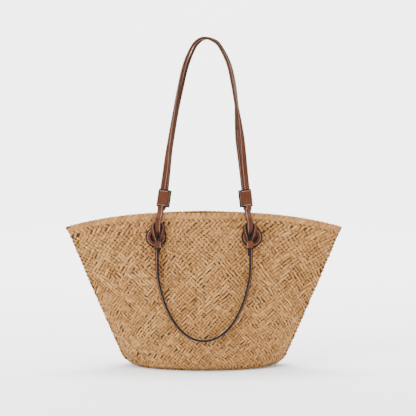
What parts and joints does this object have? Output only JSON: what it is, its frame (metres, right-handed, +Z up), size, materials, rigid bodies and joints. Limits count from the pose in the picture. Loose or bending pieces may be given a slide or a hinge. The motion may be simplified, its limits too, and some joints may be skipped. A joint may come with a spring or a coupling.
{
  "type": "woven beach bag",
  "caption": "Plaited straw basket bag on an oval base, with long leather shoulder straps held by sliding keepers and a short hanging handle on each face.",
  "frame": {"origin": "centre of the flat oval base, on the ground", "axes": "+X along the mouth to the right, +Y from front to back, +Z up"},
  "size_m": [0.457, 0.1578, 0.5516],
  "materials": {
    "straw": "plaited palm straw, matt",
    "rim_straw": "plaited palm straw edge, matt",
    "disc_leather": "smooth leather with a painted black edge",
    "backing_leather": "suede side of leather",
    "strap_leather": "smooth leather, stitched in pale thread",
    "keeper_leather": "smooth leather with a painted black edge",
    "handle_leather": "smooth leather with a painted black edge",
    "pale_thread": "waxed thread",
    "edge_paint": "satin black edge paint"
  },
  "bodies": {
    "basket": {"woven_basket": "straw", "rim_edge": "rim_straw", "front_left_disc": "disc_leather", "front_left_backing": "backing_leather", "front_left_lead": "strap_leather", "front_right_disc": "disc_leather", "front_right_backing": "backing_leather", "front_right_lead": "strap_leather", "back_left_disc": "disc_leather", "back_left_backing": "backing_leather", "back_left_lead": "strap_leather", "back_right_disc": "disc_leather", "back_right_backing": "backing_leather", "back_right_lead": "strap_leather"},
    "shoulder_straps": {"front_shoulder_strap": "strap_leather", "back_shoulder_strap": "strap_leather"},
    "left_keeper": {"left_keeper": "keeper_leather"},
    "right_keeper": {"right_keeper": "keeper_leather"},
    "front_handle": {"front_handle": "handle_leather"},
    "back_handle": {"back_handle": "handle_leather"},
    "front_left_small_keeper": {"front_left_small_keeper": "handle_leather"},
    "front_right_small_keeper": {"front_right_small_keeper": "handle_leather"},
    "back_left_small_keeper": {"back_left_small_keeper": "handle_leather"},
    "back_right_small_keeper": {"back_right_small_keeper": "handle_leather"}
  },
  "joints": [
    {"name": "shoulder_swing", "type": "hinge", "parent": "basket", "child": "shoulder_straps", "pos_m": [0, 0, 0.257], "axis": [1, 0, 0], "range_deg": [-45, 45]},
    {"name": "left_keeper_slide", "type": "slide", "parent": "shoulder_straps", "child": "left_keeper", "axis": [0.1534, 0, 0.9882], "range_m": [0, 0.05]},
    {"name": "right_keeper_slide", "type": "slide", "parent": "shoulder_straps", "child": "right_keeper", "axis": [-0.1041, 0, 0.9946], "range_m": [0, 0.04]},
    {"name": "front_handle_swing", "type": "hinge", "parent": "basket", "child": "front_handle", "pos_m": [0, -0.02226, 0.24203], "axis": [-1, 0, 0], "range_deg": [0, 100]},
    {"name": "back_handle_swing", "type": "hinge", "parent": "basket", "child": "back_handle", "pos_m": [0, 0.02226, 0.24203], "axis": [1, 0, 0], "range_deg": [0, 100]},
    {"name": "front_left_small_keeper_slide", "type": "slide", "parent": "front_handle", "child": "front_left_small_keeper", "axis": [0, -0.1908, -0.9816], "range_m": [0, 0.004]},
    {"name": "front_right_small_keeper_slide", "type": "slide", "parent": "front_handle", "child": "front_right_small_keeper", "axis": [0, -0.1908, -0.9816], "range_m": [0, 0.004]},
    {"name": "back_left_small_keeper_slide", "type": "slide", "parent": "back_handle", "child": "back_left_small_keeper", "axis": [0, 0.1908, -0.9816], "range_m": [0, 0.004]},
    {"name": "back_right_small_keeper_slide", "type": "slide", "parent": "back_handle", "child": "back_right_small_keeper", "axis": [0, 0.1908, -0.9816], "range_m": [0, 0.004]}
  ]
}
